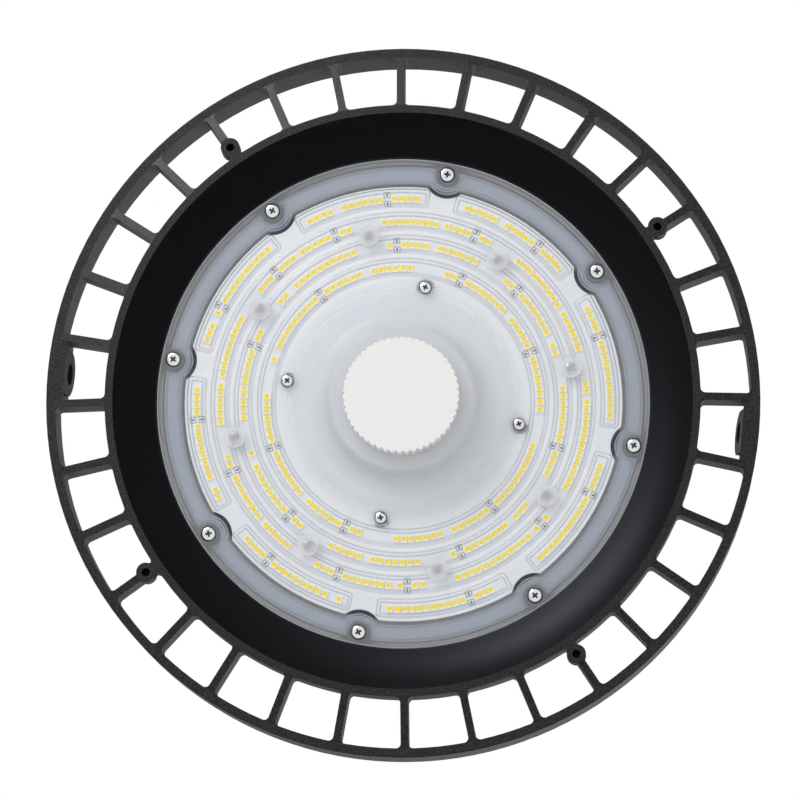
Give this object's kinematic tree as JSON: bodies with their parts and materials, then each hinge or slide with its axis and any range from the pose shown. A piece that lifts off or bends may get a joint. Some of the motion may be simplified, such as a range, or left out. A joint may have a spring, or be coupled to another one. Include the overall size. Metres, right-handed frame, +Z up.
{
  "type": "high bay light",
  "caption": "Round high bay LED light: finned black casting with a ribbed outer rim, clear lens over an LED board, blank sensor cap, driver housing and hanging eye.",
  "frame": {"origin": "centre of the flat face of the sensor cap, on the axis of the light, which is its lowest point", "axes": "+Z up along the axis from the lens side to the hanging eye, +X through a bracket hole, +Y towards the cable gland"},
  "size_m": [0.32, 0.32, 0.1645],
  "materials": {
    "black_casting": "fine-textured powder coat",
    "clear_lens": "clear moulded polycarbonate",
    "grey_silicone": "satin",
    "white_board": "solder mask, semi-matte",
    "led_phosphor": "silicone over phosphor",
    "chip_ceramic": "matte",
    "bright_screw": "bright nickel plating",
    "white_plastic": "fine moulded texture",
    "black_plastic": "moulded nylon",
    "contact_brass": "polished",
    "wire_insulation": "extruded",
    "driver_case": "satin",
    "zinc_steel": "bright zinc plating",
    "black_rubber": "matte"
  },
  "bodies": {
    "root": {"heat_sink": "black_casting", "lens": "clear_lens", "lens_gasket": "grey_silicone", "led_board": "white_board", "led_packages": "led_phosphor", "board_resistors": "chip_ceramic", "lens_screws": "bright_screw", "inner_lens_screws": "bright_screw", "board_screws": "bright_screw", "sensor_socket": "white_plastic", "socket_contacts": "contact_brass", "socket_ring_nut": "white_plastic", "cap_seal": "grey_silicone", "sensor_cap": "white_plastic", "wire_grommet": "black_rubber", "board_connector": "white_plastic", "led_wires": "wire_insulation", "sensor_wires": "wire_insulation", "led_driver": "driver_case", "driver_screws": "zinc_steel", "terminal_block": "white_plastic", "terminal_screws": "zinc_steel", "earth_washer": "zinc_steel", "earth_screw": "zinc_steel", "housing_gasket": "black_rubber", "driver_housing": "black_casting", "housing_screws": "zinc_steel", "hanging_eye": "zinc_steel", "eye_washer": "black_rubber", "eye_nut": "zinc_steel", "gland_washer": "black_rubber", "gland_body": "black_plastic", "gland_seal": "black_rubber", "gland_nut": "black_plastic", "gland_locknut": "black_plastic", "breather_vent": "black_plastic", "vent_nut": "black_plastic"}
  },
  "joints": []
}
